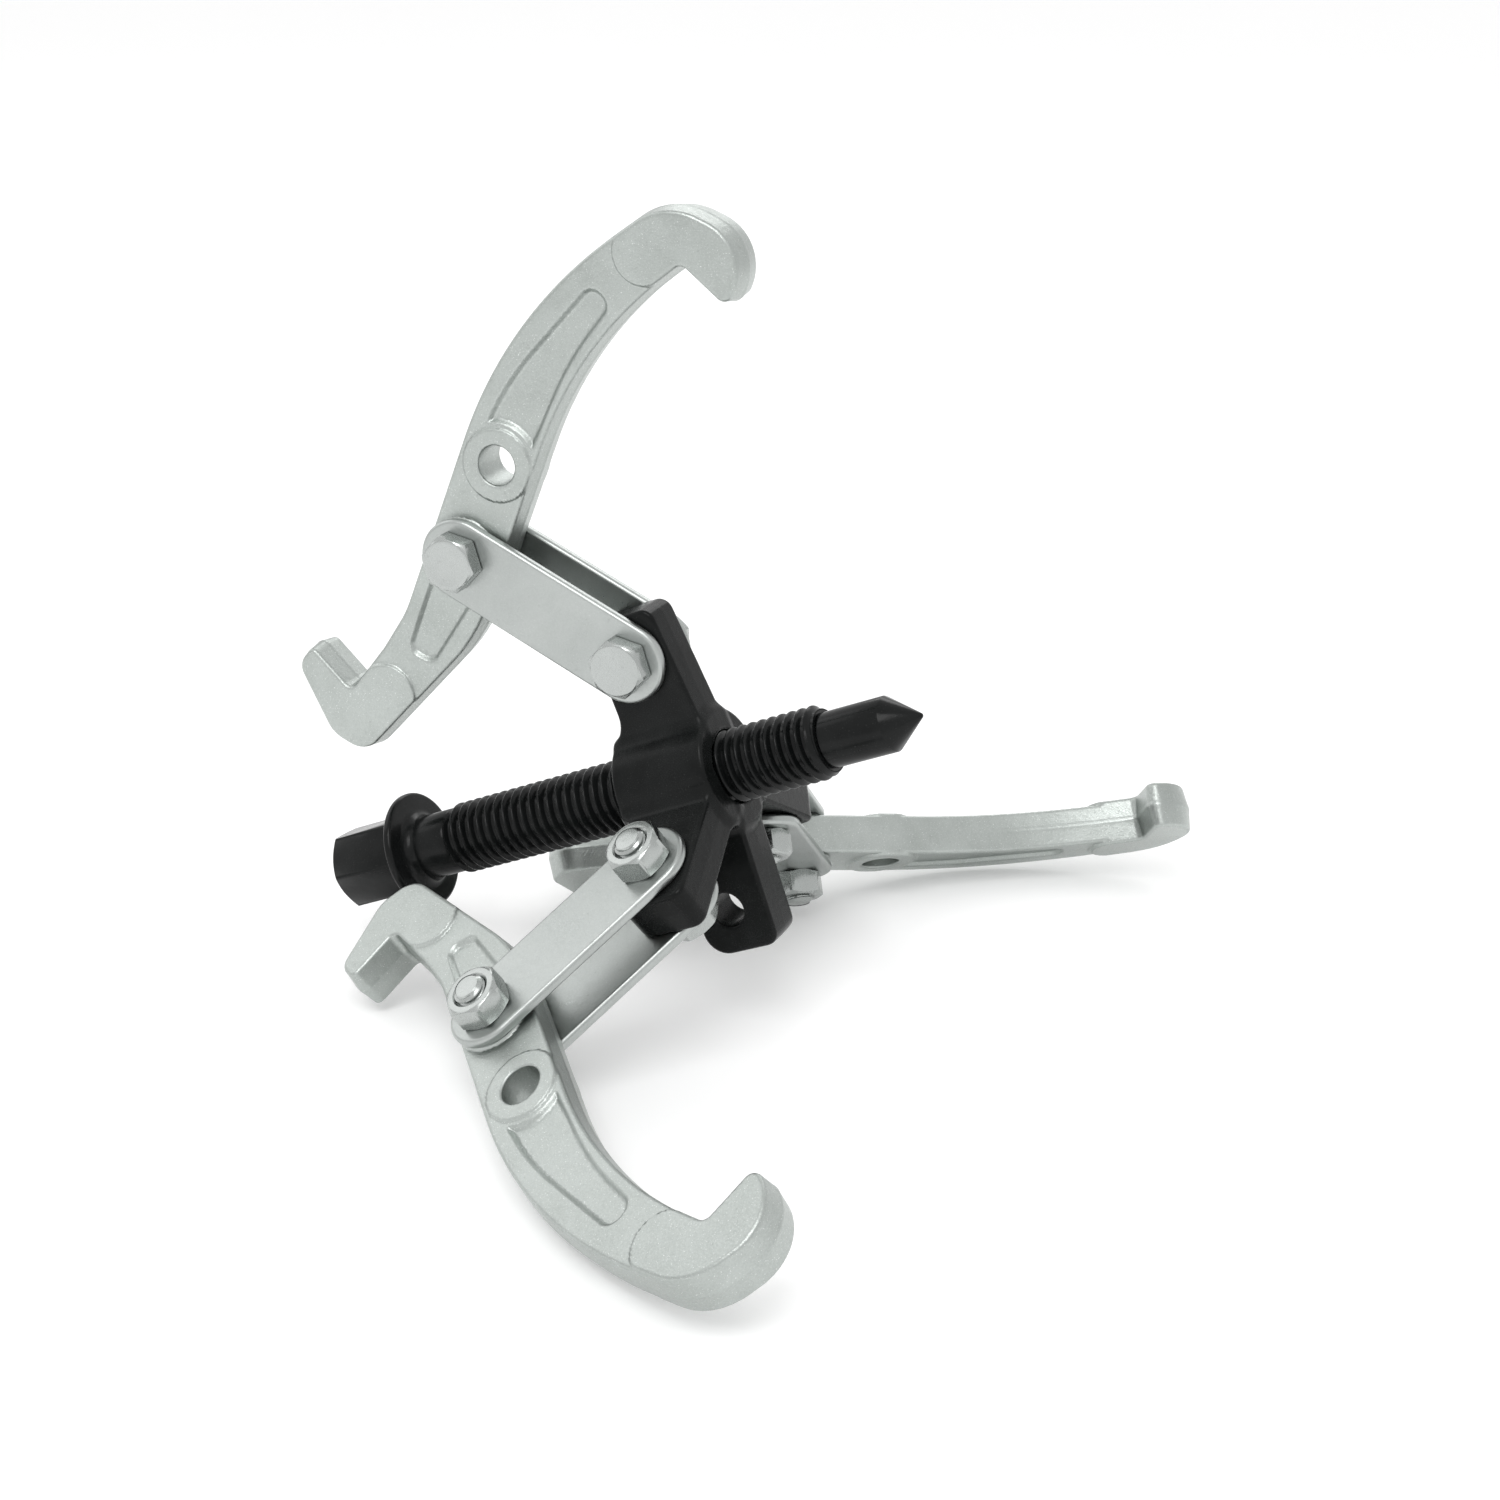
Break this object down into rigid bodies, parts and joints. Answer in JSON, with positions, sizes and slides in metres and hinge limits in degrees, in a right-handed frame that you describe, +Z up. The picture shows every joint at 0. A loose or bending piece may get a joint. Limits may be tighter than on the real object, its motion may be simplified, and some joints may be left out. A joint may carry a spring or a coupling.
{
  "type": "gear puller",
  "caption": "Gear puller: a black forcing screw through a cross-shaped yoke, with steel link pairs carrying bolted, double-ended forged jaws that hook behind a gear or bearing.",
  "frame": {"origin": "on the floor under the middle of the tool's bounding box, as it lies on two jaws", "axes": "+Z up; +X level, along the forcing screw seen from above, towards its point; +Y to the left of the screw, and the tool's longest extent"},
  "size_m": [0.205, 0.2656, 0.2026],
  "materials": {
    "black_finish": "glossy black finish",
    "forged_zinc": "bright zinc plating over a fine shot-blasted forging",
    "zinc_strap": "bright zinc plating on pressed strip, rolled edges",
    "zinc_fastener": "bright zinc plating"
  },
  "bodies": {
    "yoke": {"yoke": "black_finish", "yoke_bolt_1": "zinc_fastener", "yoke_bolt_2": "zinc_fastener", "yoke_bolt_3": "zinc_fastener", "yoke_nut_1": "zinc_fastener", "yoke_nut_2": "zinc_fastener", "yoke_nut_3": "zinc_fastener"},
    "point": {"screw_point": "black_finish"},
    "screw": {"screw": "black_finish"},
    "link_1": {"link_1_front": "zinc_strap", "link_1_rear": "zinc_strap", "jaw_bolt_1": "zinc_fastener", "jaw_nut_1": "zinc_fastener"},
    "jaw_1": {"jaw_1": "forged_zinc"},
    "link_2": {"link_2_front": "zinc_strap", "link_2_rear": "zinc_strap", "jaw_bolt_2": "zinc_fastener", "jaw_nut_2": "zinc_fastener"},
    "jaw_2": {"jaw_2": "forged_zinc"},
    "link_3": {"link_3_front": "zinc_strap", "link_3_rear": "zinc_strap", "jaw_bolt_3": "zinc_fastener", "jaw_nut_3": "zinc_fastener"},
    "jaw_3": {"jaw_3": "forged_zinc"}
  },
  "joints": [
    {"name": "screw_feed", "type": "slide", "parent": "yoke", "child": "point", "axis": [0.9133, 0, 0.4074], "range_m": [-0.024, 0.045]},
    {"name": "screw_turn", "type": "hinge", "parent": "point", "child": "screw", "pos_m": [0.00528, -0.00206, 0.06205], "axis": [0.9133, 0, 0.4074], "range_deg": [-3200, 6000]},
    {"name": "link_1_swing", "type": "hinge", "parent": "yoke", "child": "link_1", "pos_m": [-0.00804, -0.00136, 0.09191], "axis": [-0.0087, -0.9998, 0.0196], "range_deg": [-54, 10]},
    {"name": "jaw_1_swing", "type": "hinge", "parent": "link_1", "child": "jaw_1", "pos_m": [-0.05368, -0.00057, 0.11181], "axis": [0.0087, 0.9998, -0.0196], "range_deg": [-31, 42]},
    {"name": "link_2_swing", "type": "hinge", "parent": "yoke", "child": "link_2", "pos_m": [0.01169, -0.03072, 0.04768], "axis": [0.3571, 0.4813, -0.8005], "range_deg": [-55, 2.5]},
    {"name": "jaw_2_swing", "type": "hinge", "parent": "link_2", "child": "jaw_2", "pos_m": [-0.01504, -0.06038, 0.01792], "axis": [-0.3571, -0.4813, 0.8005], "range_deg": [-12, 47]},
    {"name": "link_3_swing", "type": "hinge", "parent": "yoke", "child": "link_3", "pos_m": [0.01219, 0.0259, 0.04657], "axis": [-0.3483, 0.5185, 0.7809], "range_deg": [-42, 17]},
    {"name": "jaw_3_swing", "type": "hinge", "parent": "link_3", "child": "jaw_3", "pos_m": [0.00627, 0.06584, 0.01741], "axis": [0.3483, -0.5185, -0.7809], "range_deg": [-30, 50]}
  ],
  "couplings": [
    {"joint": "screw_turn", "follows": "screw_feed", "rad_per_m": 2293.1}
  ]
}
